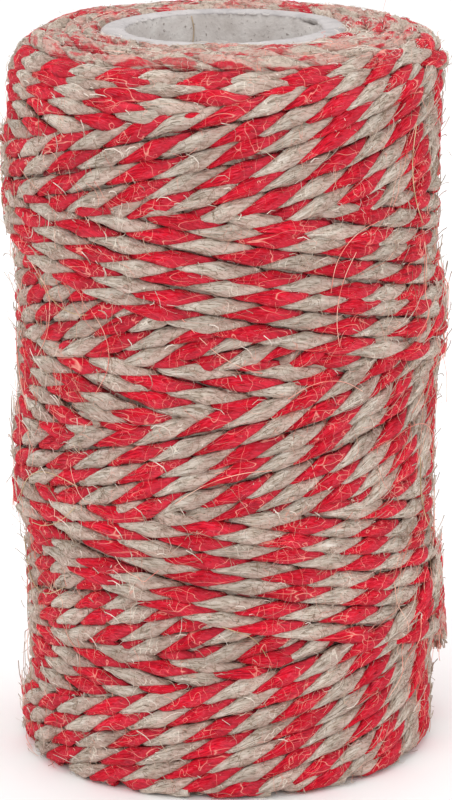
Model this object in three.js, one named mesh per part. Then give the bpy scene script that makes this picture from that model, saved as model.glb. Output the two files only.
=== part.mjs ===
// A spool of two-ply flax yarn, cross-wound on a board tube, standing on its end.
// Millimetres. +Z is the tube's axis, the spool stands on z = 0, and -Y faces the viewer.
import * as THREE from "three";

// The tube.
const SPOOL_HEIGHT = 100;
const CORE_OUTER_R = 16.6;
const CORE_BORE_R = 13.0;
const CORE_EDGE = 0.35; // the worn edge of the cut board
const CORE_SIDES = 64;
const CLEARANCE = 0.3; // between two solids
const FOOT = 0.25; // the lowest turn's round edge, above the flat base

// The wound form.
const YARN_D = 2.4;
const WOUND_TOP_R = 29.6;
const WOUND_BASE_R = 28.5;
const TOP_SHOULDER = 7;
const BASE_SHOULDER = 1.8;
const PILLOW = 0.1; // how far the turns at the top rise past the tube's end

// The winding pattern: each cycle climbs at WIND_PITCH a turn, and is laid beside the last one.
const WIND_PITCH = 40;
const CYCLES = 16; // cycles round the spool before the pattern closes
const NEWEST_TURN = 45; // degrees round from the front to the last turn's crossing at the top
const COLUMNS = 2 * CYCLES;
const ROWS_A_TURN = 4; // points across one turn of yarn: valley, flank, crest, flank
const ROW = WIND_PITCH / CYCLES / ROWS_A_TURN;
const LEAD = ROWS_A_TURN / 2; // rows that a turn climbs or falls from one column to the next
const CREST = 0.85; // from a crest down to the valley beside it
const LAYER = 1.3; // what CYCLES turns in one direction add to the radius
const UNEVEN = 0.1; // the yarn's own thick and thin places
const RINGS_FROM = SPOOL_HEIGHT - 2 * ROW; // past here the turns lie as rings round the end

// The cut outer end: where it lies on the side, from the turn it leaves to its tip.
const END_PATH = [
  { degrees: 158, height: 31.8, lift: 0.1 },
  { degrees: 144, height: 30.4, lift: 0.1 },
  { degrees: 130, height: 28.8, lift: 0.1 },
  { degrees: 117, height: 26.6, lift: 0.1 },
  { degrees: 108, height: 23, lift: 0.1 },
  { degrees: 103, height: 17.5, lift: 0.15 },
  { degrees: 100, height: 10.8, lift: 0.5 },
];
const END_BED = 5.5; // the last turns have come away this far round it
const END_STEPS = 54;
const END_SIDES = 12;
const TWIST_PITCH = 11; // one full turn of the two plies
const PLY_WAIST = 0.3; // how far the groove between the plies cuts in

const radians = THREE.MathUtils.degToRad;
const wrap = (value, span) => ((value % span) + span) % span;

// A smooth bump, 1 in the middle and 0 from span away on.
const bump = (away, span) =>
  Math.abs(away) < span ? Math.cos((away / span) * (Math.PI / 2)) ** 2 : 0;

// The point at an angle round the spool: 0 is the front, and it grows to the right.
const around = (degrees, radius, height) =>
  new THREE.Vector3(
    radius * Math.sin(radians(degrees)),
    -radius * Math.cos(radians(degrees)),
    height,
  );

// A closed surface from columns of points, each of which runs round the same closed section.
// Two neighbours are zipped together from their first points up: lead(column, row) is how many
// rows the right one is ahead, so that the faces follow a turn of yarn and its crest stays unbroken.
function zippedSolid(columns, lead) {
  const rows = columns[0].length;
  const points = columns.flat();
  const faces = [];
  columns.forEach((_, column) => {
    const left = column * rows;
    const right = ((column + 1) % columns.length) * rows;
    let l = 0;
    let r = 0;
    while (l < rows - 1 || r < rows - 1) {
      const climbRight = l === rows - 1 || (r < rows - 1 && r - l < lead(column, (l + r) / 2));
      if (climbRight) faces.push(left + l, right + r, right + ++r);
      else faces.push(left + l, right + r, left + ++l);
    }
    faces.push(left + l, right + r, right, left + l, right, left);
  });
  const geometry = new THREE.BufferGeometry().setFromPoints(points);
  geometry.setIndex(faces);
  geometry.computeVertexNormals();
  return geometry;
}

// Where the wound form's section is at a height measured along its surface, and its outward normal.
// On the straight side that height is z; it runs on round both shoulders and over the top.
const sideTop = SPOOL_HEIGHT + PILLOW - TOP_SHOULDER;
const topArc = (TOP_SHOULDER * Math.PI) / 2;
function section(height) {
  if (height < BASE_SHOULDER) {
    const turn = (height - BASE_SHOULDER) / BASE_SHOULDER;
    return {
      r: WOUND_BASE_R - BASE_SHOULDER * (1 - Math.cos(turn)),
      z: BASE_SHOULDER + BASE_SHOULDER * Math.sin(turn),
      out: Math.cos(turn),
      up: Math.sin(turn),
    };
  }
  if (height < sideTop) {
    const share = (height - BASE_SHOULDER) / (sideTop - BASE_SHOULDER);
    return { r: THREE.MathUtils.lerp(WOUND_BASE_R, WOUND_TOP_R, share), z: height, out: 1, up: 0 };
  }
  const turn = Math.min((height - sideTop) / TOP_SHOULDER, Math.PI / 2);
  const inward = Math.max(height - sideTop - topArc, 0);
  return {
    r: WOUND_TOP_R - TOP_SHOULDER * (1 - Math.cos(turn)) - inward,
    z: sideTop + TOP_SHOULDER * Math.sin(turn),
    out: Math.cos(turn),
    up: Math.sin(turn),
  };
}

// How many cycles ago the turns over a place were laid, in each of the two directions.
function ages(degrees, height) {
  const down = ((SPOOL_HEIGHT - height) * 360) / WIND_PITCH;
  const cycle = 360 / CYCLES;
  return {
    rising: wrap(degrees - NEWEST_TURN + down, 360) / cycle,
    falling: wrap(degrees - NEWEST_TURN - down, 360) / cycle,
  };
}
const risingOnTop = (degrees, height) => {
  const age = ages(degrees, height);
  return age.rising < age.falling;
};

// How near a place on the side is to the loose end: 1 under it, and 0 from END_BED away on.
const underEnd = (degrees, height) =>
  Math.max(
    ...END_PATH.map((place, i) => {
      const next = END_PATH[Math.min(i + 1, END_PATH.length - 1)];
      const along = [0, 0.25, 0.5, 0.75].map((t) => {
        const arc = radians(THREE.MathUtils.lerp(place.degrees, next.degrees, t) - degrees);
        const rise = THREE.MathUtils.lerp(place.height, next.height, t) - height;
        return Math.hypot(arc * WOUND_BASE_R, rise);
      });
      return bump(Math.min(...along), END_BED);
    }),
  );

// How far the turns stand above the mean radius: the spool grows by a layer over each CYCLES turns.
function level(degrees, height) {
  const { rising, falling } = ages(degrees, height);
  const grown = LAYER * (1 - (rising + falling) / CYCLES);
  const older = Math.min(grown, -LAYER / 4);
  return THREE.MathUtils.lerp(grown, older, Math.min(2 * underEnd(degrees, height), 1));
}

// The height of the yarn over the smooth section, with its round turns.
function relief(degrees, height, wobble) {
  const { rising, falling } = ages(degrees, height);
  const rings = height > RINGS_FROM;
  const turn = rings ? (height - RINGS_FROM) / (ROW * ROWS_A_TURN) : Math.min(rising, falling);
  const across = 2 * wrap(turn, 1) - 1; // -1 and 1 in the valleys, 0 on the crest
  const valley = CREST * (1 - Math.sqrt(1 - Math.min(across ** 2, 1)));
  const fade = THREE.MathUtils.smoothstep(height, RINGS_FROM, SPOOL_HEIGHT + 2 * YARN_D);
  return level(degrees, height) * (1 - fade) - valley + UNEVEN * wobble;
}

function wound() {
  const boreR = (CORE_OUTER_R + CLEARANCE) / Math.cos(Math.PI / COLUMNS);
  const flatR = WOUND_BASE_R - BASE_SHOULDER - 1;
  const topEnd = sideTop + topArc + (WOUND_TOP_R - TOP_SHOULDER - boreR);
  const firstHeight = BASE_SHOULDER * (1 - Math.PI / 2);
  const firstRow = Math.ceil((firstHeight - SPOOL_HEIGHT) / ROW);
  const lastRow = Math.floor((topEnd - SPOOL_HEIGHT) / ROW) - 1;
  const heightOf = (row) => SPOOL_HEIGHT + row * ROW;

  const columns = Array.from({ length: COLUMNS }, (_, i) => {
    const degrees = NEWEST_TURN + (i * 360) / COLUMNS;
    const column = [around(degrees, boreR, 0), around(degrees, flatR, 0)];
    for (let row = firstRow; row <= lastRow; row++) {
      const at = section(heightOf(row));
      const wobble = Math.sin(2.1 * i + 0.45 * row) * Math.cos(0.7 * i - 0.65 * row);
      const lift = relief(degrees, heightOf(row), wobble);
      column.push(around(degrees, at.r + at.out * lift, Math.max(at.z + at.up * lift, FOOT)));
    }
    column.push(around(degrees, boreR, SPOOL_HEIGHT - 0.3));
    return column;
  });
  const flatRows = 2;
  return zippedSolid(columns, (i, index) => {
    const height = heightOf(index - flatRows + firstRow);
    if (height < 0 || height > RINGS_FROM) return 0;
    const degrees = NEWEST_TURN + ((i + 0.5) * 360) / COLUMNS;
    return risingOnTop(degrees, height) ? LEAD : -LEAD;
  });
}

// The board tube, its cut edges slightly rounded off.
function tube() {
  const corner = (radius, inward, height, upward) => [
    new THREE.Vector2(radius + inward * CORE_EDGE, height),
    new THREE.Vector2(radius, height + upward * CORE_EDGE),
  ];
  const [innerBase, innerLow] = corner(CORE_BORE_R, 1, 0, 1);
  const [outerBase, outerLow] = corner(CORE_OUTER_R, -1, 0, 1);
  const [innerTop, innerHigh] = corner(CORE_BORE_R, 1, SPOOL_HEIGHT, -1);
  const [outerTop, outerHigh] = corner(CORE_OUTER_R, -1, SPOOL_HEIGHT, -1);
  const loop = [innerBase, outerBase, outerLow, outerHigh, outerTop, innerTop, innerHigh, innerLow];
  return new THREE.LatheGeometry([...loop, loop[0]], CORE_SIDES).rotateX(Math.PI / 2);
}

// The cut end: two plies twisted together, so its section has two lobes that turn along the path.
function looseEnd() {
  const places = END_PATH.map(({ degrees, height, lift }) => {
    const off = level(degrees, height) + UNEVEN + CLEARANCE + lift + YARN_D / 2;
    return around(degrees, section(height).r + off, height);
  });
  const path = new THREE.CatmullRomCurve3(places);
  const frames = path.computeFrenetFrames(END_STEPS);
  const length = path.getLength();
  const rings = [];
  for (let step = 0; step <= END_STEPS; step++) {
    const share = step / END_STEPS;
    const middle = path.getPointAt(share);
    const twist = (share * length * 2 * Math.PI) / TWIST_PITCH;
    const ring = [];
    for (let side = 0; side < END_SIDES; side++) {
      const angle = (side * 2 * Math.PI) / END_SIDES;
      const lobe = YARN_D / 2 - PLY_WAIST * Math.cos(angle - twist) ** 2;
      ring.push(
        middle
          .clone()
          .addScaledVector(frames.normals[step], lobe * Math.cos(angle))
          .addScaledVector(frames.binormals[step], lobe * Math.sin(angle)),
      );
    }
    rings.push(ring);
  }
  return capped(rings);
}

// A closed surface from open rings, with a fan over each end.
function capped(rings) {
  const sides = rings[0].length;
  const points = rings.flat();
  const faces = [];
  for (let row = 0; row + 1 < rings.length; row++) {
    for (let side = 0; side < sides; side++) {
      const a = row * sides + side;
      const b = row * sides + ((side + 1) % sides);
      faces.push(a, b, b + sides, a, b + sides, a + sides);
    }
  }
  for (const [first, flip] of [
    [0, true],
    [(rings.length - 1) * sides, false],
  ]) {
    const middle = new THREE.Vector3();
    for (let side = 0; side < sides; side++) middle.addScaledVector(points[first + side], 1 / sides);
    points.push(middle);
    for (let side = 0; side < sides; side++) {
      const a = first + side;
      const b = first + ((side + 1) % sides);
      faces.push(points.length - 1, flip ? b : a, flip ? a : b);
    }
  }
  const geometry = new THREE.BufferGeometry().setFromPoints(points);
  geometry.setIndex(faces);
  geometry.computeVertexNormals();
  return geometry;
}

const spool = new THREE.Group();
const board = new THREE.MeshStandardMaterial({ color: 0xa9a29a, roughness: 0.95 });
const yarn = new THREE.MeshStandardMaterial({ color: 0xc06a5c, roughness: 0.95 });
for (const [name, geometry, material] of [
  ["core", tube(), board],
  ["winding", wound(), yarn],
  ["loose_end", looseEnd(), yarn],
]) {
  const mesh = new THREE.Mesh(geometry, material);
  mesh.name = name;
  spool.add(mesh);
}
spool.name = "spool";

export default spool;
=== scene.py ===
"""Looks of a spool of red and natural two-ply flax yarn, cross-wound on a board tube."""

import math

import bpy
import numpy as np
from mathutils import Matrix


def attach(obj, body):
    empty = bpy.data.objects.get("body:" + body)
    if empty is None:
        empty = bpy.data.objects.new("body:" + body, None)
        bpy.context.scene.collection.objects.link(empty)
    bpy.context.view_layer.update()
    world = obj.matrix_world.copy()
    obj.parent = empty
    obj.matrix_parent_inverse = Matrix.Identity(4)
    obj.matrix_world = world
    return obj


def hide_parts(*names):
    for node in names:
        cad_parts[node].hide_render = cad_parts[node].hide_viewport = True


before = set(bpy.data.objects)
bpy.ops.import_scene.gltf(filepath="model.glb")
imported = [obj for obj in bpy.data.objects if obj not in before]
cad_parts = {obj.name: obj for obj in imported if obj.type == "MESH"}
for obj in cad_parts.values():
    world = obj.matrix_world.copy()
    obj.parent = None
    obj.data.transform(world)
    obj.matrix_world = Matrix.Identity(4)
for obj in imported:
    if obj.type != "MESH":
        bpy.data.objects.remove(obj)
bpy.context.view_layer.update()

# Sizes in millimetres; they are turned into metres where a mesh is made.
MM = 0.001
SPOOL_HEIGHT = 100.0
YARN_D = 2.4

# The section of the wound form, from the base up its side and over its top end.
WOUND_TOP_R = 29.6
WOUND_BASE_R = 28.5
TOP_SHOULDER = 7.0
BASE_SHOULDER = 1.8
SIDE_TOP = SPOOL_HEIGHT + 0.1 - TOP_SHOULDER

# The winding pattern. A turn of yarn moves up or down by WIND_PITCH for each turn round the tube.
WIND_PITCH = 40.0
CYCLES = 16
NEWEST_TURN = 45.0
CYCLE = 360.0 / CYCLES
SLOPE = 360.0 / WIND_PITCH
RISING_SHIFT = -0.25
FALLING_SHIFT = 0.2
NEWEST_RISING = 0
NEWEST_FALLING = 0
LAYER = 1.3

# How widely the turns round off at the two ends, in millimetres along the section.
TOP_ROUND = 1.5
BASE_ROUND = 1.3

# The heights between which the side's layers give way to the level of the top end.
TOP_END = (97.5, 103.5)

# Degrees past its turn-round for which each turn shows. The last one laid goes under almost at once, and
# lies on top again only up to a low height.
SHOWS_FOR = 12
LAST_SHOWS_FOR = 1
LAST_TURN_UP_TO = 26.2

# How deep a covered turn dives, for how many degrees it is kept, and how its hidden end sinks and thins.
DIVE = 1.7
TUCK = 16.0
SINK = 0.9
SINK_OVER = 9.0
SINK_THIN = 0.55

# How far a turn strays off its line and stands unevenly, and how its thickness varies.
OFF_LINE = 0.25
WANDER = 0.28
FINE_WANDER = 0.1
UNEVEN = 0.12
THICK_AND_THIN = 0.07

# Degrees from one point of a turn to the next.
STEP = 1.7

# How far the yarn below the top turns lies under them, on the side and on the top end.
UNDER_DEPTH = 1.45
UNDER_TOP_DEPTH = 0.85
UNDER_COLUMNS = 170
UNDER_ROW = 1.2
UNDER_FROM = -0.9
UNDER_TO = 109.4

# The two plies of the yarn. One full twist takes up TWIST degrees of a turn, more or less evenly.
TWIST = 24.35
UNEVEN_TWIST = 0.13
TWIST_WAVES = 60
PLY_OUT = 0.5
PLY_THICK = 0.74
PLY_WIDE = 1.24
PLY_LUMPS = 0.3
PLY_SIDES = 8

# The older turns' rounds on the top end: height along the section, and how far they wave.
END_ROUNDS = [
    {"height": 101.4, "wave": 0.5},
    {"height": 103.9, "wave": 0.4},
    {"height": 106.3, "wave": 0.35},
    {"height": 108.6, "wave": 0.15},
]

# The cut outer end: where it lies on the side, from the turn it leaves to its tip.
END_PATH = [
    {"degrees": 158, "height": 31.8, "lift": 0.1},
    {"degrees": 144, "height": 30.4, "lift": 0.1},
    {"degrees": 130, "height": 28.8, "lift": 0.1},
    {"degrees": 117, "height": 26.6, "lift": 0.1},
    {"degrees": 108, "height": 23, "lift": 0.1},
    {"degrees": 103, "height": 17.5, "lift": 0.15},
    {"degrees": 100, "height": 10.8, "lift": 0.5},
]
END_CLEAR = 0.4
END_TWIST = 11.0
TIP_HAIRS = 60
LEAVING_OVER = 40.0

# Single long hairs that lie over the side: how many of each colour, the shortest and the longest, and the
# heights that they start between.
LONG_HAIRS = {"gold": 10, "pale": 26}
LONG_HAIR = (8.0, 18.0)
LONG_HAIRS_FROM = (20, 80)
# One more in the bore: how far across it lies, and its heights.
BORE_HAIR = {"kind": "gold", "by": [(-4.4, 99.5), (-4.1, 97.5), (-4.3, 95), (-4.0, 92)]}

# Loose fibres: their bends, how far they tip off the surface, and the heights that they keep between.
FIBRE_SWEEPS = (0.5, 1.1, 1.9, 2.8, 4.0)
FIBRE_TIP = 0.25
FIBRE_THINNING = 0.6
FIBRES_BETWEEN = (0.4, 100.9)
# Fibres rooted above this range are held near the top end's surface.
HELD_BY_TOP = (89.0, 96.0)

# The tube.
CORE_OUTER_R = 16.6
CORE_BORE_R = 13.0
TEAR_AT = 117.0
CUT_EDGE_FROM = 99.6

# The camera, in millimetres and degrees.
CAMERA_PLACE = (-0.21, -442.13, 168.62)
CAMERA_DOWN = 15.271
CAMERA_ROLL = 0.603
CAMERA_LENS = 149.04


def section(height):
    """Radius, z, and the normal's outward and upward parts, at heights along the wound form's section."""
    height = np.asarray(height, float)
    foot = np.clip((height - BASE_SHOULDER) / BASE_SHOULDER, -math.pi / 2, 0)
    head = np.clip((height - SIDE_TOP) / TOP_SHOULDER, 0, math.pi / 2)
    inward = np.maximum(height - SIDE_TOP - TOP_SHOULDER * math.pi / 2, 0)
    share = np.clip((height - BASE_SHOULDER) / (SIDE_TOP - BASE_SHOULDER), 0, 1)
    side_r = WOUND_BASE_R + (WOUND_TOP_R - WOUND_BASE_R) * share
    radius = side_r - BASE_SHOULDER * (1 - np.cos(foot)) - TOP_SHOULDER * (1 - np.cos(head)) - inward
    z = np.clip(height, BASE_SHOULDER, SIDE_TOP) + BASE_SHOULDER * np.sin(foot) + TOP_SHOULDER * np.sin(head)
    return radius, z, np.cos(foot) * np.cos(head), np.sin(foot) + np.sin(head)


def around(degrees, radius, z):
    """Points at angles round the spool: 0 is the front, and they grow to the right."""
    turn = np.radians(degrees)
    return np.stack([radius * np.sin(turn), -radius * np.cos(turn), z + 0 * turn], -1)


def on_form(degrees, height, out):
    """Points a distance out from the wound form, and the outward normals there."""
    radius, z, outward, upward = section(height)
    normals = around(degrees, outward, upward)
    return around(degrees, radius + outward * out, z + upward * out), normals


def ages(degrees, height):
    """How many cycles ago the rising and the falling turns over a place were laid."""
    down = (SPOOL_HEIGHT - height) * SLOPE
    rising = (degrees - NEWEST_TURN + down) / CYCLE - RISING_SHIFT + 0.5
    falling = (degrees - NEWEST_TURN - down) / CYCLE - FALLING_SHIFT + 0.5
    rising = (rising - NEWEST_RISING) % CYCLES + NEWEST_RISING
    falling = (falling - NEWEST_FALLING) % CYCLES + NEWEST_FALLING
    return rising, falling


def level(rising, falling):
    """How far the top turns stand above the mean radius: each round of cycles adds a layer."""
    return LAYER * (1 - (rising - NEWEST_RISING + falling - NEWEST_FALLING) / CYCLES)


def top_share(height):
    """0 on the side and 1 on the top end, at heights along the section."""
    return np.clip((height - TOP_END[0]) / (TOP_END[1] - TOP_END[0]), 0, 1)


def smooth_wave(along, seed, length):
    """A smooth random value of about 1 along a turn, with waves near the given length."""
    waves = np.random.default_rng(seed)
    total = np.zeros_like(along)
    for _ in range(5):
        total += np.sin(2 * math.pi * (along / (length * waves.uniform(0.6, 1.6)) + waves.uniform()))
    return total / 2.2


def round_wave(degrees, seed, waves):
    """A smooth random value of about 1 round a full circle, with about so many waves."""
    picks = np.random.default_rng(seed)
    total = np.zeros_like(degrees)
    for _ in range(6):
        count = round(waves * picks.uniform(0.5, 1.5))
        total += np.sin(np.radians(degrees * count) + 2 * math.pi * picks.uniform())
    return total / 2.4


def smoothed(values, width):
    """Values along a line, averaged over a bell of that width in steps."""
    reach = int(3 * width)
    bell = np.exp(-0.5 * (np.arange(-reach, reach + 1) / width) ** 2)
    padded = np.pad(values, reach, mode="edge")
    return np.convolve(padded, bell / bell.sum(), mode="valid")


def runs_of(mask):
    """First and last index of each unbroken run of true values."""
    edges = np.flatnonzero(np.diff(np.concatenate([[0], mask.astype(int), [0]])))
    return zip(edges[::2], edges[1::2] - 1)


def twist_phase(way, k, down):
    """How far the plies have turned along one turn of yarn: at whole numbers the red one faces out.

    The yarn is one strand that goes up and down again cycle after cycle. Its twist runs on through every
    turn-round, and a whole number of twists closes the pattern.
    """
    span = down[-1] - down[0]
    laid = 2 * k * span + (down - down[0]) * (-1 if way == "rising" else 1)
    circle = 360 * laid / (2 * CYCLES * span)
    twists = round(2 * CYCLES * span / TWIST)
    return twists * circle / 360 + UNEVEN_TWIST * round_wave(circle, 77, TWIST_WAVES)


def new_run(points, normals, phase, thick=1.0, matted=0.0, offset=0.0):
    """One line of yarn or hair as the ply's tree reads it, with a value of each kind for every point."""
    each = np.ones(len(points))
    values = {"phase": phase * each, "thick": thick * each, "matted": matted * each}
    return {"points": points, "normals": normals, "offset": offset, **values}


def strand_runs(way):
    """The centrelines of the turns that show, one dictionary of arrays for each unbroken run."""
    newest = NEWEST_RISING if way == "rising" else NEWEST_FALLING
    shift = RISING_SHIFT if way == "rising" else FALLING_SHIFT
    top_dwell = (FALLING_SHIFT - RISING_SHIFT) / 2
    base_dwell = (1 - FALLING_SHIFT + RISING_SHIFT) / 2
    runs = []
    last = 900 + base_dwell * CYCLE
    down = np.linspace(-top_dwell * CYCLE, last, round((last + top_dwell * CYCLE) / STEP))
    for k in range(newest, newest + CYCLES):
        first = NEWEST_TURN + CYCLE * (k + shift)
        degrees = first - down if way == "rising" else first + down
        line = SPOOL_HEIGHT - down / SLOPE
        over_top = (down + top_dwell * CYCLE) / SLOPE
        over_base = (900 + base_dwell * CYCLE - down) / SLOPE
        height = line + over_top - np.hypot(over_top, TOP_ROUND)
        height = height - over_base + np.hypot(over_base, BASE_ROUND)
        rising, falling = ages(degrees, line)
        crossed = (np.floor(rising) == NEWEST_RISING) & (line > LAST_TURN_UP_TO)
        if way == "rising":
            covered = (np.floor(falling) < k) | crossed
            stand = level(k + 0.5, falling)
        else:
            covered = (np.floor(rising) < k + 1) & ~crossed
            stand = level(rising, k + 0.5)
        last_laid = way == "rising" and k == NEWEST_RISING
        covered[down < (LAST_SHOWS_FOR if last_laid else SHOWS_FOR)] = False
        hidden = np.clip(1.6 * smoothed(covered.astype(float), 3.2) - 0.6, 0, 1)
        seed = 100 * (1 if way == "rising" else 2) + k + 5
        wander = WANDER * smooth_wave(down, seed, 38) + FINE_WANDER * smooth_wave(down, seed + 31, 13)
        out = smoothed(stand, 4.0) - YARN_D / 2 - DIVE * hidden + UNEVEN * smooth_wave(down, seed + 47, 30)
        fade = top_share(height)
        out = out * (1 - fade) + fade * (-YARN_D / 2 + 0.1 - DIVE * hidden)
        ends = np.clip((down - down[0]) / 40, 0, 1) * np.clip((down[-1] - down) / 40, 0, 1)
        off_line = OFF_LINE * smooth_wave(down, seed + 17, 300)
        height = height + (0.5 * wander + off_line) * ends
        shown = smoothed((~covered).astype(float), 0.6) > 0
        shown = np.convolve(shown, np.ones(2 * int(TUCK / STEP) + 1), mode="same") > 0
        for start, stop in runs_of(shown):
            if stop - start < 12:
                continue
            part = slice(start, stop + 1)
            from_start = down[part] - down[start] if start > 0 else TUCK
            from_stop = down[stop] - down[part] if stop < len(down) - 1 else TUCK
            sunk = 1 - np.clip(np.minimum(from_start, from_stop) / SINK_OVER, 0, 1)
            points, normals = on_form(degrees[part], height[part], out[part] - SINK * sunk)
            points[:, 2] = np.maximum(points[:, 2], YARN_D / 2 + 0.2)
            thick = 1 - SINK_THIN * sunk + THICK_AND_THIN * smooth_wave(down[part], seed + 63, 17)
            matted = np.clip((points[:, 2] - 97) / 4, 0, 0.45)
            lines = (points, normals, twist_phase(way, k, down)[part], thick, matted)
            if way == "rising":
                lines = (values[::-1] for values in lines)
            offset = 1000.0 * (k + 40 * (way == "rising") + 3) + down[part][0]
            runs.append(new_run(*lines, offset=offset))
    return runs


def end_rounds():
    """The older turns that lie round the top end, as closed rounds whose ends meet under each other."""
    runs = []
    for i, place in enumerate(END_ROUNDS):
        degrees = np.arange(0, 372, STEP * 1.6) + 90 * i + 120
        height = place["height"] + place["wave"] * smooth_wave(degrees, 900 + i, 110)
        out = -YARN_D / 2 + 0.1 + 0.25 * smooth_wave(degrees, 920 + i, 60)
        ends = np.minimum(degrees - degrees[0], degrees[-1] - degrees) / 14
        out = out - 1.2 * (1 - np.clip(ends, 0, 1))
        points, normals = on_form(degrees, height, out)
        phase = -(degrees / (TWIST * 1.25)) + 0.3 * i
        thick = 1.02 + THICK_AND_THIN * smooth_wave(degrees, 940 + i, 20)
        runs.append(new_run(points, normals, phase, thick, matted=0.58, offset=90000.0 + 1000 * i))
    return runs


def twisted(runs):
    """Adds to each run the way the red ply leans, square to the run, and the distance along."""
    for run in runs:
        points = run["points"]
        ahead = np.gradient(points, axis=0)
        steps = np.linalg.norm(np.diff(points, axis=0), axis=1)
        ahead /= np.linalg.norm(ahead, axis=1)[:, None]
        face = run["normals"] - (run["normals"] * ahead).sum(1)[:, None] * ahead
        face /= np.linalg.norm(face, axis=1)[:, None]
        side = np.cross(ahead, face)
        turn = 2 * math.pi * run["phase"][:, None]
        run["lean"] = face * np.cos(turn) - side * np.sin(turn)
        run["face"] = face
        run["side"] = side
        run["along"] = np.concatenate([[0], np.cumsum(steps)]) + run["offset"]
    return runs


def line_mesh(name, runs, red):
    """A mesh of open lines in metres that carries what the ply's tree reads."""
    points = np.concatenate([run["points"] for run in runs]) * MM
    edges = []
    start = 0
    for run in runs:
        count = len(run["points"])
        edges += [(start + i, start + i + 1) for i in range(count - 1)]
        start += count
    mesh = bpy.data.meshes.new(name)
    mesh.from_pydata(points.tolist(), edges, [])
    for key, sign in (("lean", 1 if red else -1), ("face", 1), ("side", 1)):
        arrows = np.concatenate([run[key] for run in runs]) * sign
        mesh.attributes.new(key, "FLOAT_VECTOR", "POINT").data.foreach_set("vector", arrows.ravel())
    for key, scale in (("along", MM), ("thick", 1.0), ("matted", 1.0)):
        values = np.concatenate([run[key] for run in runs]) * scale
        mesh.attributes.new(key, "FLOAT", "POINT").data.foreach_set("value", values)
    return mesh


def new_node(tree, kind, sockets, settings):
    """Adds a node to a tree, sets what it is told, and links or fills its input sockets."""
    node = tree.nodes.new(kind)
    for key, value in settings.items():
        setattr(node, key, value)
    for key, value in (sockets or {}).items():
        if isinstance(value, bpy.types.NodeSocket):
            tree.links.new(value, node.inputs[key])
        else:
            node.inputs[key].default_value = value
    return node


class Tree:
    """A Geometry Nodes tree with named inputs, built node by node."""

    def __init__(self, name, inputs):
        self.tree = bpy.data.node_groups.new(name, "GeometryNodeTree")
        self.tree.interface.new_socket("Geometry", in_out="INPUT", socket_type="NodeSocketGeometry")
        self.tree.interface.new_socket("Geometry", in_out="OUTPUT", socket_type="NodeSocketGeometry")
        self.keys = {}
        for label, kind in inputs.items():
            socket = self.tree.interface.new_socket(label, in_out="INPUT", socket_type="NodeSocket" + kind)
            self.keys[label] = socket.identifier
        self.source = self.tree.nodes.new("NodeGroupInput")

    def given(self, label):
        """The named input's socket inside the tree."""
        return self.source.outputs[label]

    def add(self, kind, sockets=None, **settings):
        return new_node(self.tree, kind, sockets, settings)

    def maths(self, operation, *values):
        return self.add("ShaderNodeMath", dict(enumerate(values)), operation=operation).outputs[0]

    def vector(self, operation, *values):
        return self.add("ShaderNodeVectorMath", dict(enumerate(values)), operation=operation).outputs[0]

    def scaled(self, vector, factor):
        return self.add("ShaderNodeVectorMath", {0: vector, "Scale": factor}, operation="SCALE").outputs[0]

    def dot(self, one, other):
        return self.add("ShaderNodeVectorMath", {0: one, 1: other}, operation="DOT_PRODUCT").outputs["Value"]

    def length(self, vector):
        return self.add("ShaderNodeVectorMath", {0: vector}, operation="LENGTH").outputs["Value"]

    def joined(self, **parts):
        return self.add("ShaderNodeCombineXYZ", parts).outputs[0]

    def height_of(self, place):
        return self.add("ShaderNodeSeparateXYZ", {"Vector": place}).outputs["Z"]

    def attribute(self, label, kind="FLOAT_VECTOR"):
        return self.add("GeometryNodeInputNamedAttribute", {"Name": label}, data_type=kind).outputs[0]

    def store(self, geometry, label, vector):
        sockets = {"Geometry": geometry, "Name": label, "Value": vector}
        settings = {"data_type": "FLOAT_VECTOR", "domain": "POINT"}
        return self.add("GeometryNodeStoreNamedAttribute", sockets, **settings).outputs[0]

    def finish(self, geometry):
        """Ends the tree with the instances made real and the material set."""
        real = self.add("GeometryNodeRealizeInstances", {"Geometry": geometry})
        sockets = {"Geometry": real.outputs[0], "Material": self.given("Material")}
        painted = self.add("GeometryNodeSetMaterial", sockets)
        end = self.tree.nodes.new("NodeGroupOutput")
        self.tree.links.new(painted.outputs[0], end.inputs[0])
        return self


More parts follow.
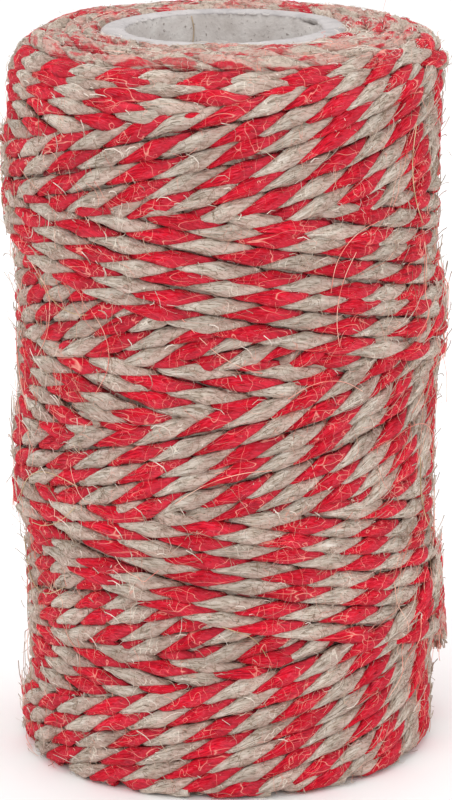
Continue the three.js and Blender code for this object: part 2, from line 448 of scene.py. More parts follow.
def ply_tree():
    """Sweeps a ply's section along each line, off its middle by the lean that the line carries."""
    t = Tree(
        "ply along the turns",
        {
            "Off middle": "Float",
            "Thick": "Float",
            "Wide": "Float",
            "Sides": "Int",
            "Lump height": "Float",
            "Lump length": "Float",
            "Seed": "Float",
            "Material": "Material",
        },
    )
    curve = t.add("GeometryNodeMeshToCurve", {"Mesh": t.given("Geometry")}).outputs[0]
    lean, face, side = (t.attribute(label) for label in ("lean", "face", "side"))
    curve = t.add("GeometryNodeSetCurveNormal", {"Curve": curve, "Normal": lean}, mode="FREE").outputs[0]
    thick = t.attribute("thick", "FLOAT")
    curve = t.add("GeometryNodeSetCurveRadius", {"Curve": curve, "Radius": thick}).outputs[0]
    place = t.add("GeometryNodeInputPosition").outputs[0]
    middle = t.vector("ADD", place, t.scaled(lean, t.maths("MULTIPLY", thick, t.given("Off middle"))))
    curve = t.store(curve, "centre", place)
    curve = t.store(curve, "middle", middle)
    round_section = {"Resolution": t.given("Sides"), "Radius": 1.0}
    circle = t.add("GeometryNodeCurvePrimitiveCircle", round_section).outputs[0]
    size = t.joined(X=t.given("Wide"), Y=t.given("Thick"), Z=1.0)
    off = t.joined(Y=t.given("Off middle"))
    placed = {"Geometry": circle, "Translation": off, "Scale": size}
    circle = t.add("GeometryNodeTransform", placed).outputs[0]
    sweep = {"Curve": curve, "Profile Curve": circle, "Fill Caps": True}
    mesh = t.add("GeometryNodeCurveToMesh", sweep).outputs[0]
    arm = t.vector("SUBTRACT", place, t.attribute("middle"))
    fibre = t.joined(X=t.dot(arm, face), Y=t.dot(arm, side), Z=t.attribute("along", "FLOAT"))
    mesh = t.store(mesh, "fibre", fibre)
    across = t.dot(t.vector("NORMALIZE", arm), lean)
    seam = t.maths("DIVIDE", t.maths("SUBTRACT", 0.35, across), 0.8)
    # How far out from the strand's middle each point stands, which the flax uses for painted shade in the
    # creases.
    spoke = t.vector("SUBTRACT", place, t.attribute("centre"))
    rise = t.maths("DIVIDE", t.dot(spoke, face), YARN_D / 2 * MM)
    mesh = t.store(mesh, "seam", t.joined(X=seam, Y=rise))
    stretch = t.joined(X=900.0, Y=900.0, Z=t.given("Lump length"))
    noise = t.add(
        "ShaderNodeTexNoise",
        {"Vector": t.vector("MULTIPLY", fibre, stretch), "W": t.given("Seed"), "Scale": 1.0, "Detail": 2.0},
        noise_dimensions="4D",
    ).outputs["Fac"]
    lump = t.maths("MULTIPLY", t.maths("SUBTRACT", noise, 0.5), t.given("Lump height"))
    normal = t.add("GeometryNodeInputNormal").outputs[0]
    mesh = t.add("GeometryNodeSetPosition", {"Geometry": mesh, "Offset": t.scaled(normal, lump)}).outputs[0]
    mesh = t.add("GeometryNodeSetShadeSmooth", {"Geometry": mesh}).outputs[0]
    return t.finish(mesh)


def fibre_tree():
    """Grows loose fibres from a surface: rooted at random places, lying near it, curled and tapering."""
    t = Tree(
        "loose fibres",
        {
            "Fibres per square metre": "Float",
            "Shortest": "Float",
            "Longest": "Float",
            "Thickness": "Float",
            "Curl": "Float",
            "Curl size": "Float",
            "Lift": "Float",
            "Stray": "Float",
            "Spin": "Float",
            "Lowest root": "Float",
            "Points": "Int",
            "Seed": "Int",
            "Material": "Material",
        },
    )
    place = t.add("GeometryNodeInputPosition").outputs[0]
    normal = t.add("GeometryNodeInputNormal").outputs[0]
    face = t.attribute("face")
    shows = t.maths("GREATER_THAN", t.dot(normal, face), 0.1)
    shows = t.maths("MULTIPLY", shows, t.maths("GREATER_THAN", t.height_of(place), t.given("Lowest root")))
    spread = t.add(
        "GeometryNodeDistributePointsOnFaces",
        {
            "Mesh": t.given("Geometry"),
            "Selection": shows,
            "Density": t.given("Fibres per square metre"),
            "Seed": t.given("Seed"),
        },
        distribute_method="RANDOM",
    )
    rooted = t.store(spread.outputs["Points"], "root", place)
    arcs = []
    for sweep in FIBRE_SWEEPS:
        arc = t.add(
            "GeometryNodeCurveArc",
            {"Resolution": t.given("Points"), "Radius": 1 / sweep, "Start Angle": 0.0, "Sweep Angle": sweep},
        ).outputs[0]
        moved = {"Geometry": arc, "Translation": (-1 / sweep, 0, 0)}
        arcs.append(t.add("GeometryNodeTransform", moved).outputs[0])
    kinds = t.tree.nodes.new("GeometryNodeGeometryToInstance")
    for arc in arcs:
        t.tree.links.new(arc, kinds.inputs[0])
    spin = t.add(
        "FunctionNodeRandomValue",
        {0: (-FIBRE_TIP, -FIBRE_TIP, -1.0), 1: (FIBRE_TIP, FIBRE_TIP, 1.0), "Seed": t.given("Seed")},
        data_type="FLOAT_VECTOR",
    ).outputs[0]
    amount = t.joined(X=1.0, Y=1.0, Z=t.given("Spin"))
    spin = t.add("FunctionNodeEulerToRotation", {"Euler": t.vector("MULTIPLY", spin, amount)}).outputs[0]
    ahead = t.vector("CROSS_PRODUCT", face, t.attribute("side"))
    upright = {"Vector": spread.outputs["Normal"]}
    outward = t.add("FunctionNodeAlignRotationToVector", upright, axis="Z").outputs[0]
    combed = t.add(
        "FunctionNodeAlignRotationToVector",
        {"Rotation": outward, "Vector": ahead},
        axis="Y",
        pivot_axis="Z",
    ).outputs[0]
    turned = t.add(
        "FunctionNodeRotateRotation",
        {"Rotation": combed, "Rotate By": spin},
        rotation_space="LOCAL",
    ).outputs[0]
    pick = t.add("FunctionNodeRandomValue", {2: 0.0, 3: 1.0, "Seed": 11}, data_type="FLOAT").outputs[1]
    long_few = t.maths("POWER", pick, 2.5)
    span = t.maths("SUBTRACT", t.given("Longest"), t.given("Shortest"))
    length = t.maths("ADD", t.maths("MULTIPLY", long_few, span), t.given("Shortest"))
    size = t.joined(X=length, Y=length, Z=length)
    grown = t.add(
        "GeometryNodeInstanceOnPoints",
        {
            "Points": rooted,
            "Instance": kinds.outputs[0],
            "Pick Instance": True,
            "Rotation": turned,
            "Scale": size,
        },
    ).outputs[0]
    grown = t.add("GeometryNodeRealizeInstances", {"Geometry": grown}).outputs[0]
    share = t.add("GeometryNodeSplineParameter").outputs["Factor"]
    noise = t.add(
        "ShaderNodeTexNoise",
        {"Vector": place, "Scale": t.given("Curl size"), "Detail": 1.0},
        noise_dimensions="3D",
    ).outputs["Color"]
    sway = t.vector("SUBTRACT", noise, (0.5, 0.5, 0.5))
    bend = t.maths("MULTIPLY", share, t.given("Curl"))
    grown = t.add("GeometryNodeSetPosition", {"Geometry": grown, "Offset": t.scaled(sway, bend)}).outputs[0]
    flat_place = t.vector("MULTIPLY", place, (1.0, 1.0, 0.0))
    root = t.attribute("root")
    reach = t.length(flat_place)
    root_reach = t.length(t.vector("MULTIPLY", root, (1.0, 1.0, 0.0)))
    stray = t.maths("MULTIPLY", t.maths("SUBTRACT", reach, root_reach), t.given("Stray"))
    arch = t.maths("MULTIPLY", share, t.maths("SUBTRACT", 1.3, share))
    wanted = t.maths("ADD", t.maths("ADD", root_reach, stray), t.maths("MULTIPLY", arch, t.given("Lift")))
    wanted = t.maths("MAXIMUM", wanted, (CORE_OUTER_R - 0.8) * MM)
    held = t.scaled(flat_place, t.maths("DIVIDE", wanted, reach))
    root_z = t.height_of(root)
    low, high = (height * MM for height in HELD_BY_TOP)
    on_top = t.add("ShaderNodeMapRange", {"Value": root_z, "From Min": low, "From Max": high}).outputs[0]
    climb = t.maths("SUBTRACT", t.height_of(place), root_z)
    kept = t.maths("SUBTRACT", 1.0, t.maths("MULTIPLY", on_top, 0.85))
    raised = t.maths("MULTIPLY", on_top, t.maths("MULTIPLY", arch, t.given("Lift")))
    rise = t.maths("ADD", t.maths("ADD", root_z, t.maths("MULTIPLY", climb, kept)), raised)
    lowest, highest = (height * MM for height in FIBRES_BETWEEN)
    rise = t.maths("MINIMUM", t.maths("MAXIMUM", rise, lowest), highest)
    held = t.vector("ADD", held, t.joined(Z=rise))
    grown = t.add("GeometryNodeSetPosition", {"Geometry": grown, "Position": held}).outputs[0]
    taper = t.maths("SUBTRACT", 1.0, t.maths("MULTIPLY", share, FIBRE_THINNING))
    grown = t.add("GeometryNodeSetCurveRadius", {"Curve": grown, "Radius": taper}).outputs[0]
    half = t.maths("MULTIPLY", t.given("Thickness"), 0.5)
    one = t.joined(X=half)
    flat = t.add("GeometryNodeCurvePrimitiveLine", {"Start": one, "End": t.scaled(one, -1.0)}).outputs[0]
    return t.finish(t.add("GeometryNodeCurveToMesh", {"Curve": grown, "Profile Curve": flat}).outputs[0])


def grown_piece(name, mesh, tree, values):
    """The plain mesh that a tree makes of a mesh, as an object at the origin."""
    start = bpy.data.objects.new(name + ".start", mesh)
    bpy.context.scene.collection.objects.link(start)
    modifier = start.modifiers.new("tree", "NODES")
    modifier.node_group = tree.tree
    for label, value in values.items():
        modifier[tree.keys[label]] = value
    bpy.context.view_layer.update()
    graph = bpy.context.evaluated_depsgraph_get()
    made = bpy.data.meshes.new_from_object(start.evaluated_get(graph))
    made.name = name
    piece = bpy.data.objects.new(name, made)
    bpy.context.scene.collection.objects.link(piece)
    start.modifiers.remove(modifier)
    bpy.data.objects.remove(start)
    return piece


def linear(code):
    """Linear red, green, blue and 1 of a colour written as six hex digits."""
    values = [int(code[i : i + 2], 16) / 255 for i in (0, 2, 4)]
    return (*(v / 12.92 if v <= 0.04045 else ((v + 0.055) / 1.055) ** 2.4 for v in values), 1.0)


class Paint:
    """A material's node tree."""

    def __init__(self, name, roughness, **settings):
        self.material = bpy.data.materials.new(name)
        self.material.use_nodes = True
        self.tree = self.material.node_tree
        self.shader = self.tree.nodes["Principled BSDF"]
        self.shader.inputs["Roughness"].default_value = roughness
        for key, value in settings.items():
            self.shader.inputs[key.replace("_", " ")].default_value = value

    def add(self, kind, sockets=None, **settings):
        return new_node(self.tree, kind, sockets, settings)

    def noise(self, vector, stretch, detail=2.0, roughness=0.5):
        """Noise on a vector that is first stretched by so many waves a metre on each axis."""
        mapped = self.add("ShaderNodeMapping", {"Vector": vector, "Scale": stretch}).outputs[0]
        sockets = {"Vector": mapped, "Scale": 1.0, "Detail": detail, "Roughness": roughness}
        return self.add("ShaderNodeTexNoise", sockets).outputs["Fac"]

    def ramp(self, value, stops):
        """Colours by a value: stops are (place, colour code)."""
        node = self.add("ShaderNodeValToRGB", {"Fac": value})
        while len(node.color_ramp.elements) < len(stops):
            node.color_ramp.elements.new(0.5)
        for element, (place, code) in zip(node.color_ramp.elements, stops):
            element.position = place
            element.color = linear(code)
        return node.outputs["Color"]

    def mix(self, share, one, two, blend="MIX"):
        sockets = {0: share, 6: one, 7: two}
        return self.add("ShaderNodeMix", sockets, data_type="RGBA", blend_type=blend).outputs[2]

    def bump(self, height, distance, strength=1.0, under=None):
        sockets = {"Height": height, "Distance": distance, "Strength": strength}
        if under is not None:
            sockets["Normal"] = under
        return self.add("ShaderNodeBump", sockets).outputs[0]

    def finish(self, colour, normal=None):
        self.tree.links.new(colour, self.shader.inputs["Base Color"])
        if normal is not None:
            self.tree.links.new(normal, self.shader.inputs["Normal"])
        return self.material


def hairline(p, place, waves, width, share):
    """Thin curly lines, like single hairs that lie on the yarn, broken where a second noise is low."""
    lines = p.noise(place, waves, 0.5)
    lines = p.ramp(lines, [(0.5 - width, "000000"), (0.5, "ffffff"), (0.5 + width, "000000")])
    breaks = p.noise(place, tuple(0.3 * count for count in waves), 1.0)
    breaks = p.ramp(breaks, [(0.62 - 0.3 * share, "000000"), (0.68 - 0.3 * share, "ffffff")])
    return p.mix(1.0, lines, breaks, "MULTIPLY")


def flax(name, shades, streaks, specks, bleed, hairs):
    """Spun flax: streaks along the ply, the other ply's colour at seams, hairs across it, painted crease
    shade.
    """
    p = Paint(name, 0.88, Sheen_Weight=0.03, Specular_IOR_Level=0.14)
    fibre = p.add("ShaderNodeAttribute", attribute_name="fibre").outputs["Vector"]
    place = p.add("ShaderNodeTexCoord").outputs["Object"]
    fine = p.noise(fibre, (5000, 5000, 260), 3.0, 0.7)
    broad = p.noise(fibre, (2300, 2300, 170), 2.0)
    slow = p.noise(fibre, (500, 500, 60), 1.0)
    colour = p.ramp(broad, shades)
    colour = p.mix(p.ramp(fine, [(0.5, "000000"), (0.7, "e0e0e0")]), colour, linear(streaks[0]))
    colour = p.mix(p.ramp(fine, [(0.3, "f8f8f8"), (0.47, "000000")]), colour, linear(streaks[1]))
    spots = p.noise(fibre, (5200, 5200, 1500), 1.0)
    colour = p.mix(p.ramp(spots, [(0.72, "000000"), (0.8, "a0a0a0")]), colour, linear(specks))
    seam = p.add("ShaderNodeAttribute", attribute_name="seam").outputs["Vector"]
    seam, rise, _ = p.add("ShaderNodeSeparateXYZ", {"Vector": seam}).outputs
    ragged = p.add("ShaderNodeMath", {0: fine, 1: 1.5, 2: -0.75}, operation="MULTIPLY_ADD").outputs[0]
    seam = p.add("ShaderNodeMath", {0: seam, 1: ragged}, operation="ADD").outputs[0]
    colour = p.mix(p.ramp(seam, [(0.86, "000000"), (1.2, "a4a4a4")]), colour, linear(bleed))
    tone = p.ramp(slow, [(0.3, "d9d6d4"), (0.7, "ffffff")])
    colour = p.mix(1.0, colour, tone, "MULTIPLY")
    # Painted shade: the ply is darkened where it lies low towards the strand's sides, in the creases between
    # strands.
    painted_crease_shade = p.add("ShaderNodeMath", {0: fine, 1: 0.5, 2: rise}, operation="MULTIPLY_ADD").outputs[0]
    painted_crease_shade = p.ramp(painted_crease_shade, [(0.2, "7c5e52"), (0.42, "cdbcb2"), (0.66, "ffffff")])
    colour = p.mix(1.0, colour, painted_crease_shade, "MULTIPLY")
    matted = p.add("ShaderNodeAttribute", attribute_name="matted").outputs["Fac"]
    patches = p.noise(fibre, (420, 420, 140), 2.0, 0.6)
    tangle = p.noise(place, (2400, 2400, 2400), 3.0, 0.7)
    pale, red = [(0.36, "cbb9aa"), (0.5, "dccbbd")], [(0.575, "d43a49"), (0.72, "dc2c40")]
    felt = p.ramp(patches, [*pale, (0.545, "d88f88"), *red])
    felt = p.mix(p.ramp(tangle, [(0.36, "b0b0b0"), (0.5, "000000")]), felt, linear("9a7f6f"))
    weave = p.add("ShaderNodeMath", {0: tangle, 1: matted}, operation="ADD").outputs[0]
    colour = p.mix(p.ramp(weave, [(0.75, "000000"), (1.0, "e0e0e0")]), colour, felt)
    for waves, width, share, shade in hairs:
        colour = p.mix(hairline(p, place, waves, width, share), colour, linear(shade))
    low = p.bump(broad, 0.4 * MM, 0.8)
    return p.finish(colour, p.bump(fine, 0.22 * MM, 1.0, low))


natural_flax = flax(
    "natural flax",
    [(0.3, "a29183"), (0.42, "cbbaab"), (0.6, "d9cbbe"), (0.78, "e6dcd2")],
    ("f4ece2", "66563f"),
    "54473a",
    "c99b90",
    [
        ((200, 200, 620), 0.009, 0.45, "d9ab9b"),
        ((620, 620, 190), 0.008, 0.4, "d39c8d"),
        ((640, 640, 230), 0.011, 0.5, "ebe0d2"),
        ((330, 330, 900), 0.009, 0.6, "836b59"),
        ((760, 760, 300), 0.010, 0.55, "8a7360"),
    ],
)
red_flax = flax(
    "red flax",
    [(0.3, "b00a24"), (0.42, "d60a27"), (0.6, "e60f2c"), (0.78, "ee233c")],
    ("f4566c", "8a081e"),
    "5e0c16",
    "cb4152",
    [
        ((200, 200, 620), 0.010, 0.6, "f1a392"),
        ((620, 620, 190), 0.011, 0.6, "ef9a8c"),
        ((700, 700, 900), 0.012, 0.3, "e97472"),
    ],
)


def plain_fibre(name, one, two):
    """Loose fibres, each of its own shade by where it lies."""
    p = Paint(name, 0.6, Specular_IOR_Level=0.3)
    place = p.add("ShaderNodeTexCoord").outputs["Object"]
    shade = p.noise(place, (260, 260, 260), 2.0)
    return p.finish(p.ramp(shade, [(0.38, one), (0.58, two)]))


straw_fibre = plain_fibre("straw fibre", "8f775c", "cbb7a0")
pink_fibre = plain_fibre("pale pink fibre", "ec7f72", "f6c6b2")
flax_strand = plain_fibre("combed flax", "9c8878", "e2d5c9")
gold_fibre = plain_fibre("golden fibre", "a98a62", "d9bf98")


def matted_flax():
    """The yarn below the top turns, seen only as dark in the gaps, and as matted fibres on the top end."""
    p = Paint("matted flax", 0.9)
    place = p.add("ShaderNodeTexCoord").outputs["Object"]
    patches = p.noise(place, (260, 260, 420), 2.0)
    fibres = p.noise(place, (1500, 1500, 2600), 3.0, 0.6)
    colour = p.ramp(patches, [(0.4, "bcab9d"), (0.53, "cdb9ab"), (0.57, "c05a5c"), (0.62, "c43443")])
    colour = p.mix(p.ramp(fibres, [(0.35, "b0b0b0"), (0.55, "000000")]), colour, linear("6f5a4e"))
    colour = p.mix(hairline(p, place, (600, 600, 600), 0.02, 0.7), colour, linear("e8d6c6"))
    colour = p.mix(hairline(p, place, (420, 420, 420), 0.016, 0.6), colour, linear("ea8d82"))
    return p.finish(colour, p.bump(fibres, 0.3 * MM))


def board(name, shades, fleck):
    """Grey board: pressed fibres and flecks."""
    p = Paint(name, 0.9)
    place = p.add("ShaderNodeTexCoord").outputs["Object"]
    cloud = p.noise(place, (240, 240, 240), 3.0, 0.6)
    grit = p.noise(place, (1900, 1900, 1900), 2.0, 0.6)
    colour = p.ramp(cloud, shades)
    colour = p.mix(p.ramp(grit, [(0.62, "000000"), (0.72, "ffffff")]), colour, linear(fleck))
    rim = p.add("ShaderNodeAttribute", attribute_name="torn").outputs["Fac"]
    colour = p.mix(rim, colour, linear("5c534e"))
    return p.finish(colour, p.bump(grit, 0.2 * MM, 0.6, p.bump(cloud, 0.4 * MM, 0.5)))


board_wall = board("grey board", [(0.3, "beb6b1"), (0.5, "cfc8c4"), (0.7, "dad5d1")], "958b85")
board_cut = board("cut edge of the board", [(0.3, "a5a0a0"), (0.5, "b8b2b1"), (0.7, "c4bebd")], "958f8e")


def grid_mesh(name, rings, torn=None):
    """A closed surface in metres from rings of points that close on themselves, first to last and back."""
    rows, columns = rings.shape[:2]
    index = np.arange(rows * columns).reshape(rows, columns)
    up = np.roll(index, -1, axis=0)
    right = np.roll(index, -1, axis=1)
    both = np.roll(up, -1, axis=1)
    faces = np.stack([index, right, both, up], -1).reshape(-1, 4)
    mesh = bpy.data.meshes.new(name)
    mesh.from_pydata((rings.reshape(-1, 3) * MM).tolist(), [], faces.tolist())
    if torn is not None:
        mesh.attributes.new("torn", "FLOAT", "POINT").data.foreach_set("value", torn.ravel())
    mesh.validate()
    mesh.shade_smooth()
    piece = bpy.data.objects.new(name, mesh)
    bpy.context.scene.collection.objects.link(piece)
    return piece


def tube():
    """The board tube, with a ragged inner edge at the top and a torn place at its back right."""
    turn = np.linspace(0, 360, 256, endpoint=False)
    rough = 0.06 * round_wave(turn, 61, 40) + 0.04 * round_wave(turn, 62, 90)
    ragged = 0.14 * np.abs(round_wave(turn, 63, 25)) + 0.08 * np.abs(round_wave(turn, 64, 60))
    away = (turn - TEAR_AT + 180) % 360 - 180
    tear = np.exp(-((away / 7) ** 2))
    back = 0.75 - 0.45 * np.cos(np.radians(turn))
    # Radius, height, how uneven the ring is there, and how dark its torn fibres are.
    wall = [
        (CORE_BORE_R, 0.4, 0, 0),
        (CORE_BORE_R, 30, 0, 0),
        (CORE_BORE_R, 60, 0, 0),
        (CORE_BORE_R, 85, 0, 0),
        (CORE_BORE_R, 97, 0, 0),
        (CORE_BORE_R, 98.9, 0.3, 0.0),
        (CORE_BORE_R + 0.02, 99.35, 0.6, 0.5),
        (CORE_BORE_R + 0.12, 99.66, 1.0, 1.0),
        (CORE_BORE_R + 0.42, 99.87, 0.8, 0.0),
        (CORE_BORE_R + 1.1, 99.97, 0.4, 0),
        (CORE_OUTER_R - 1.5, 100.0, 0.3, 0),
        (CORE_OUTER_R - 0.7, 99.96, 0.3, 0),
        (CORE_OUTER_R - 0.25, 99.8, 0.5, 0),
        (CORE_OUTER_R, 99.4, 0.2, 0),
        (CORE_OUTER_R, 50, 0, 0),
        (CORE_OUTER_R, 0.4, 0, 0),
        (CORE_OUTER_R - 0.35, 0, 0, 0),
        (CORE_BORE_R + 0.35, 0, 0, 0),
    ]
    rings = []
    torn = []
    for radius, z, loose, dark in wall:
        out = radius + loose * (rough + ragged * dark) + tear * loose * dark * 0.9
        low = np.full_like(turn, z) - loose * (ragged + 0.7 * tear * dark)
        rings.append(around(turn, out, low))
        torn.append(dark * np.clip(back * (0.2 + 1.9 * ragged) + tear, 0, 1))
    piece = grid_mesh("board_tube", np.array(rings), np.array(torn))
    piece.data.materials.append(board_wall)
    piece.data.materials.append(board_cut)
    for face in piece.data.polygons:
        reach = math.hypot(face.center.x, face.center.y)
        if face.center.z > CUT_EDGE_FROM * MM and reach > (CORE_BORE_R + 0.2) * MM:
            face.material_index = 1
    return piece


def under_turns():
    """The wound yarn below the top turns."""
    degrees = np.linspace(0, 360, UNDER_COLUMNS, endpoint=False)
    rings = []
    for height in [*np.arange(UNDER_FROM, UNDER_TO - 0.2, UNDER_ROW), UNDER_TO]:
        rising, falling = ages(degrees, np.full_like(degrees, height))
        fade = top_share(height)
        out = (1 - fade) * level(rising, falling) - UNDER_DEPTH + (UNDER_DEPTH - UNDER_TOP_DEPTH) * fade
        out = out + fade * 0.3 * round_wave(degrees, 200 + int(height), 30)
        out = out + 0.12 * np.sin(height * 2.2 + np.radians(degrees) * 5)
        points, _ = on_form(degrees, np.full_like(degrees, height), out)
        points[:, 2] = np.maximum(points[:, 2], 0.3)
        rings.append(points)
    inner = CORE_OUTER_R + 0.25
    rings.append(around(degrees, inner, 98.0))
    rings.append(around(degrees, inner, 0.3))
    rings.append(around(degrees, WOUND_BASE_R - 3.2, 0.3))
    piece = grid_mesh("under_turns", np.array(rings))
    piece.data.materials.append(matted_flax())
    return piece


def spline(points, count):
    """Points evenly along a smooth curve through the given ones."""
    points = np.asarray(points, float)
    ends = np.vstack([2 * points[0] - points[1], points, 2 * points[-1] - points[-2]])
    fine = []
    for i in range(len(points) - 1):
        a, b, c, d = ends[i : i + 4]
        for s in np.linspace(0, 1, 24, endpoint=i == len(points) - 2):
            square = (2 * a - 5 * b + 4 * c - d) * s**2
            fine.append(0.5 * (2 * b + (c - a) * s + square + (3 * b - a - 3 * c + d) * s**3))
    fine = np.array(fine)
    along = np.concatenate([[0], np.cumsum(np.linalg.norm(np.diff(fine, axis=0), axis=1))])
    even = np.linspace(0, along[-1], count)
    return np.stack([np.interp(even, along, fine[:, i]) for i in range(3)], -1), along[-1]


def loose_end_run():
    """The cut end's centreline, in millimetres, with what the ply's tree needs."""
    places = []
    for place in END_PATH:
        rising, falling = ages(place["degrees"], place["height"])
        stand = min(level(rising, falling), -LAYER / 4)
        radius = float(section(place["height"])[0]) + stand + END_CLEAR + place["lift"] + YARN_D / 2
        places.append(around(place["degrees"], radius, place["height"]))
    points, length = spline(places, 60)
    outward = points * [1, 1, 0]
    outward /= np.linalg.norm(outward, axis=1)[:, None]
    share = np.linspace(0, 1, len(points))
    phase = 0.5 - share * length / END_TWIST
    thick = 1 - 0.35 * np.clip((share - 0.86) / 0.14, 0, 1) ** 1.5
    matted = np.clip((share - 0.55) / 0.4, 0, 0.5)
    return new_run(points, outward, phase, thick, matted, offset=99000.0), length


def hair_run(points, normals, number):
    """One long hair through some points, in the form that the ply's tree reads."""
    line, _ = spline(points, 26)
    share = np.linspace(0, 1, len(line))
    marks = np.linspace(0, 1, len(normals))
    facing = np.stack([np.interp(share, marks, normals[:, i]) for i in range(3)], -1)
    return new_run(line, facing, 0.0, 1 - 0.5 * share**2, offset=200000.0 + 100 * number)


def long_hairs(kind, seed):
    """The single long hairs of one colour: those over the side, bowed a little, and the one in the bore."""
    picks = np.random.default_rng(seed)
    steps = np.linspace(0, 1, 5)
    runs = []
    for number in range(LONG_HAIRS[kind]):
        heading = picks.uniform(0, 2 * math.pi)
        length = picks.uniform(*LONG_HAIR)
        ahead = length * steps
        bow = length * picks.uniform(-1, 1) * steps * (1 - steps)
        across = ahead * math.cos(heading) - bow * math.sin(heading)
        degrees = picks.uniform(0, 360) + np.degrees(across / WOUND_TOP_R)
        climb = ahead * math.sin(heading) + bow * math.cos(heading)
        height = picks.uniform(*LONG_HAIRS_FROM) + climb
        rising, falling = ages(degrees, height)
        points, normals = on_form(degrees, height, level(rising, falling) + 0.2)
        runs.append(hair_run(points, normals, number))
    if kind == BORE_HAIR["kind"]:
        across, height = np.array(BORE_HAIR["by"], float).T
        back = np.sqrt((CORE_BORE_R - 0.12) ** 2 - across**2)
        points = np.stack([across, back, height], -1)
        runs.append(hair_run(points, points * [-1, -1, 0] / CORE_BORE_R, len(runs)))
    return twisted(runs)


def tip_hairs(run):
    """The loose fibres that the cut end frays into, starting inside its last few millimetres."""
    picks = np.random.default_rng(5)
    points = run["points"]
    ahead = points[-1] - points[-5]
    ahead /= np.linalg.norm(ahead)
    runs = []
    for number in range(TIP_HAIRS):
        start = points[-picks.integers(2, 12)]
        aside = picks.normal(size=3)
        aside -= (aside @ ahead) * ahead
        aside /= np.linalg.norm(aside)
        reach = (points[-1] - start) @ ahead + picks.uniform(0.1, 1.5)
        steps = np.linspace(0, 1, 5)[:, None]
        wave = 0.25 * picks.normal(size=3) * np.sin(steps * math.pi * picks.uniform(1, 2.5))
        out = picks.uniform(0.3, 0.95) + picks.uniform(-0.4, 0.7) * steps**2
        path = start + ahead * reach * steps + aside * out + wave
        runs.append(hair_run(path, np.tile(aside, (5, 1)), 20 + number))
    return twisted(runs)


def leaving_turn(run):
    """The last of the outermost turn, which climbs out of the winding and becomes the cut end."""
    first, second = END_PATH[0], END_PATH[1]
    rising, falling = ages(first["degrees"], first["height"])
    at_end = min(level(rising, falling), -LAYER / 4) + END_CLEAR + first["lift"] + YARN_D / 2
    back = np.linspace(LEAVING_OVER, -0.6, 40)
    slope = (first["height"] - second["height"]) / (first["degrees"] - second["degrees"])
    share = np.clip(back / LEAVING_OVER, 0, 1)
    out = at_end - (at_end + YARN_D) * (share**2 * (3 - 2 * share))
    points, normals = on_form(first["degrees"] + back, first["height"] + slope * back, out)
    points[-1] = run["points"][0]
    away = np.linalg.norm(points - run["points"][0], axis=1)
    phase = run["phase"][0] + away / END_TWIST
    thick = 1 - 0.5 * np.clip((share - 0.8) / 0.2, 0, 1)
    return new_run(points, normals, phase, thick, offset=98000.0)


ply = ply_tree()


def swept(name, runs, red, shape, seed, paint):
    """Plies or hairs along their lines, as one object."""
    off_middle, thick, wide, lumps, sides = shape
    values = {
        "Off middle": off_middle * MM,
        "Thick": thick * MM,
        "Wide": wide * MM,
        "Sides": sides,
        "Lump height": lumps * MM,
        "Lump length": 260.0,
        "Seed": seed,
        "Material": paint,
    }
    return grown_piece(name, line_mesh(name + ".lines", runs, red), ply, values)


def ply_piece(name, runs, red, seed):
    """One ply, red or natural, of all the turns given."""
    shape = (PLY_OUT, PLY_THICK, PLY_WIDE, PLY_LUMPS, PLY_SIDES)
    return swept(name, runs, red, shape, seed, red_flax if red else natural_flax)


def hair_piece(name, runs, half, paint):
    """Single hairs, each a little wider than it is thick."""
    return swept(name, runs, True, (0.0, half, 1.3 * half, 0.0, 4), 1.0, paint)


end_run, end_length = loose_end_run()
rising_runs = twisted(strand_runs("rising") + [leaving_turn(end_run)])
falling_runs = twisted(strand_runs("falling"))
round_runs = twisted(end_rounds())

pieces = [
    ply_piece("rising_red_ply", rising_runs, True, 1.0),
    ply_piece("rising_natural_ply", rising_runs, False, 2.0),
    ply_piece("falling_red_ply", falling_runs + round_runs, True, 3.0),
    ply_piece("falling_natural_ply", falling_runs + round_runs, False, 4.0),
    under_turns(),
]

fibres = fibre_tree()
# How fibres lie: shortest and longest, how freely they spin off the yarn's way, how they curl, lift and
# stray, and the height above which they are rooted.
LOOSE = {"long": (1.5, 14), "spin": 3.14, "points": 13, "curl": 4.5, "lift": 0.18, "stray": 0.02}
NAP = {"long": (0.7, 3.5), "spin": 3.14, "points": 5, "curl": 1.0, "lift": 0.09, "stray": 0.08}
COMBED = {"long": (2, 7), "spin": 0.3, "points": 6, "curl": 0.7, "lift": 0.12, "stray": 0.6}
MATTED = {"long": (2, 8), "spin": 0.45, "points": 7, "curl": 1.0, "lift": 0.1, "stray": 0.5, "above": 98}
# Each kind grows on the pieces made before it whose names hold a word, so many to the square metre.
FUZZ = {
    "loose_natural": ("natural", 130000, 0.075, straw_fibre, LOOSE),
    "loose_red": ("red", 130000, 0.075, pink_fibre, LOOSE),
    "nap_natural": ("natural", 340000, 0.06, straw_fibre, NAP),
    "nap_red": ("red", 300000, 0.06, pink_fibre, NAP),
    "combed_natural": ("natural", 400000, 0.12, flax_strand, COMBED),
    "matted_top": ("ply", 700000, 0.1, flax_strand, MATTED),
}


def joined_ground(name, meshes):
    """Several plies as one mesh, with the directions that fibres are combed by."""
    copies = []
    for mesh in meshes:
        copy = bpy.data.objects.new(name, mesh.copy())
        bpy.context.scene.collection.objects.link(copy)
        copies.append(copy)
    with bpy.context.temp_override(active_object=copies[0], selected_editable_objects=copies):
        bpy.ops.object.join()
    ground = copies[0].data
    bpy.data.objects.remove(copies[0])
    return ground


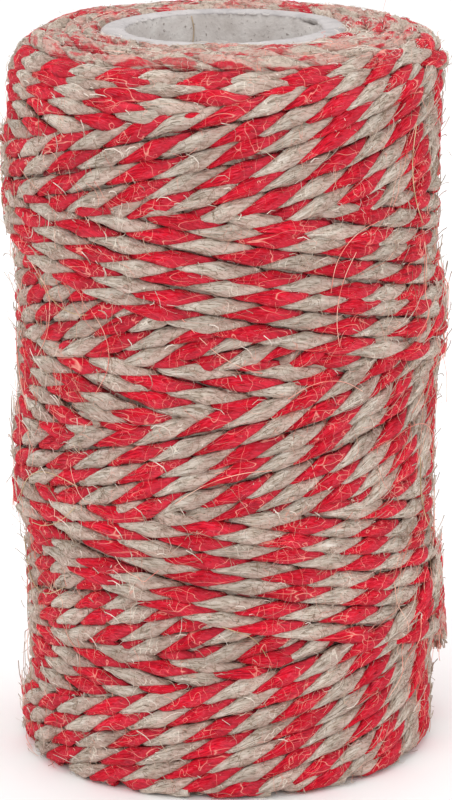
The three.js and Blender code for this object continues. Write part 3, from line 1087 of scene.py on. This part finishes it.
for i, (name, (word, count, thick, paint, lie)) in enumerate(FUZZ.items()):
    ground = joined_ground(name + ".ground", [piece.data for piece in pieces if word in piece.name])
    shortest, longest = lie["long"]
    values = {
        "Fibres per square metre": float(count),
        "Shortest": shortest * MM,
        "Longest": longest * MM,
        "Thickness": thick * MM,
        "Curl": lie["curl"] * MM,
        "Curl size": 240.0,
        "Lift": lie["lift"] * MM,
        "Stray": lie["stray"],
        "Spin": lie["spin"],
        "Lowest root": lie.get("above", -1) * MM,
        "Points": lie["points"],
        "Seed": 21 + i,
        "Material": paint,
    }
    pieces.append(grown_piece(name, ground, fibres, values))

pieces.append(hair_piece("long_gold_hairs", long_hairs("gold", 41), 0.06, gold_fibre))
pieces.append(hair_piece("long_pale_hairs", long_hairs("pale", 42), 0.05, pink_fibre))

for piece in pieces:
    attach(piece, "root")
    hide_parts("winding")

tube_piece = tube()
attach(tube_piece, "root")
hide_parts("core")

end_runs = twisted([end_run])
end_red = ply_piece("loose_end_red", end_runs, True, 5.0)
end_natural = ply_piece("loose_end_natural", end_runs, False, 6.0)
frayed = tip_hairs(end_run)
tip_natural = hair_piece("tip_natural", frayed[::3] + frayed[1::3], 0.1, flax_strand)
tip_pale = hair_piece("tip_pale", frayed[2::3], 0.08, pink_fibre)
bpy.ops.object.select_all(action="DESELECT")
for part in (end_red, end_natural, tip_natural, tip_pale):
    part.select_set(True)
bpy.context.view_layer.objects.active = end_red
bpy.ops.object.join()
end_red.name = "loose_end_yarn"
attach(end_red, "root")
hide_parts("loose_end")

# The floor, the light and the camera.
floor_mesh = bpy.data.meshes.new("floor")
floor_mesh.from_pydata([(-4, -4, 0), (4, -4, 0), (4, 4, 0), (-4, 4, 0)], [], [(0, 1, 2, 3)])
floor = bpy.data.objects.new("floor", floor_mesh)
bpy.context.scene.collection.objects.link(floor)
floor_paint = Paint("pale floor", 0.9)
floor_paint.shader.inputs["Base Color"].default_value = (0.96, 0.96, 0.96, 1)
floor_mesh.materials.append(floor_paint.material)

world = bpy.data.worlds.new("studio")
bpy.context.scene.world = world
world.use_nodes = True
world.node_tree.nodes["Background"].inputs["Color"].default_value = (1, 1, 1, 1)
world.node_tree.nodes["Background"].inputs["Strength"].default_value = 0.93


def soft_light(name, place, size, power):
    """A square soft light aimed at the middle of the spool."""
    light = bpy.data.lights.new(name, "AREA")
    light.size = size
    light.energy = power
    lamp = bpy.data.objects.new(name, light)
    lamp.location = place
    aim = np.array([0, 0, 0.05]) - np.array(place)
    forward = aim / np.linalg.norm(aim)
    right = np.cross(forward, [0, 0, 1])
    right /= np.linalg.norm(right)
    up = np.cross(right, forward)
    axes = Matrix([[right[i], up[i], -forward[i]] for i in range(3)])
    lamp.rotation_euler = axes.to_euler()
    bpy.context.scene.collection.objects.link(lamp)


soft_light("key", (-0.35, -0.7, 0.75), 0.6, 2.6)
soft_light("fill", (0.6, -0.6, 0.45), 0.6, 1.2)
soft_light("top", (0.05, 0.15, 0.95), 0.5, 2.0)

pitch = math.radians(CAMERA_DOWN)
roll = math.radians(CAMERA_ROLL)
right = np.array([1.0, 0, 0])
up = np.array([0, math.sin(pitch), math.cos(pitch)])
forward = np.array([0, math.cos(pitch), -math.sin(pitch)])
camera_right = math.cos(roll) * right - math.sin(roll) * up
camera_up = math.sin(roll) * right + math.cos(roll) * up
camera_data = bpy.data.cameras.new("camera")
camera_data.lens = CAMERA_LENS
camera_data.sensor_width = 36
camera = bpy.data.objects.new("camera", camera_data)
columns = [camera_right, camera_up, -forward, np.array(CAMERA_PLACE) * MM]
camera.matrix_world = Matrix([[float(c[i]) for c in columns] for i in range(3)] + [[0, 0, 0, 1]])
bpy.context.scene.collection.objects.link(camera)
bpy.context.scene.camera = camera
bpy.context.scene.view_settings.view_transform = "Standard"
